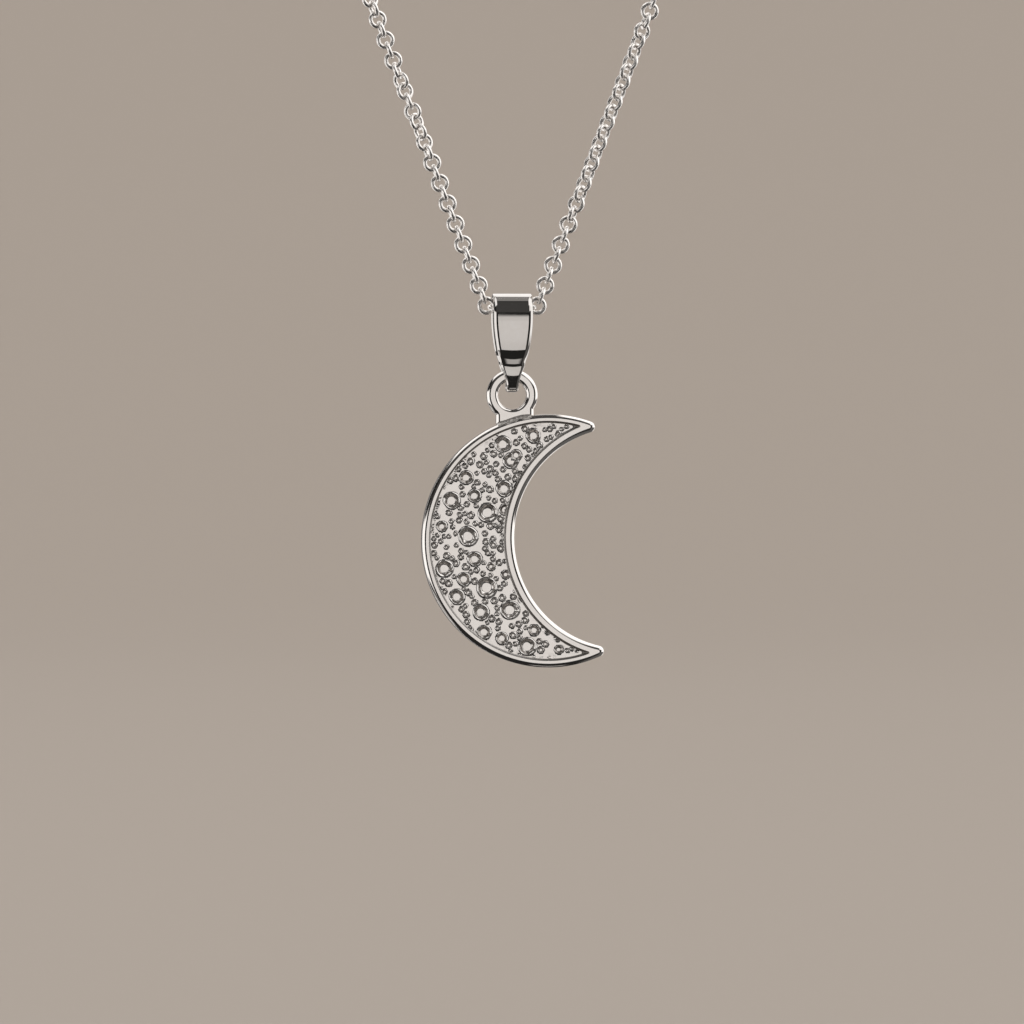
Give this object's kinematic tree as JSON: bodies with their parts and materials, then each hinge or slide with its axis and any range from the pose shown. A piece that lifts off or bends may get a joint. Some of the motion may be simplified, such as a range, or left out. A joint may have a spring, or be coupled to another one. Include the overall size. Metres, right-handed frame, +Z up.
{
  "type": "crescent moon pendant necklace",
  "caption": "Necklace of small round links with a crescent moon pendant: raised rim, cratered face, top ring and a tapering folded bail.",
  "frame": {"origin": "the point at the top of the loop, under the middle of the clasp, where the necklace rests on a neck", "axes": "+Z up, the way the necklace hangs; the moon's cratered face and the picture's viewer are towards -Y; +X to the viewer's right, where the crescent opens"},
  "size_m": [0.1022, 0.0032, 0.2185],
  "materials": {
    "cast_silver": "polished cast silver",
    "bail_silver": "mirror-polished silver strap",
    "chain_silver": "polished silver wire",
    "clasp_silver": "polished silver"
  },
  "bodies": {
    "necklace": {"chain_front": "chain_silver", "chain_back": "chain_silver", "clasp": "clasp_silver"},
    "bail_body": {"bail": "bail_silver"},
    "moon_body": {"crescent": "cast_silver"}
  },
  "joints": [
    {"name": "bail_swing", "type": "hinge", "parent": "necklace", "child": "bail_body", "pos_m": [0, 0, -0.18427], "axis": [1, 0, 0], "range_deg": [-80, 80]},
    {"name": "moon_swing", "type": "hinge", "parent": "bail_body", "child": "moon_body", "pos_m": [0, 0, -0.19194], "axis": [0, 1, 0], "range_deg": [-75, 75]}
  ]
}
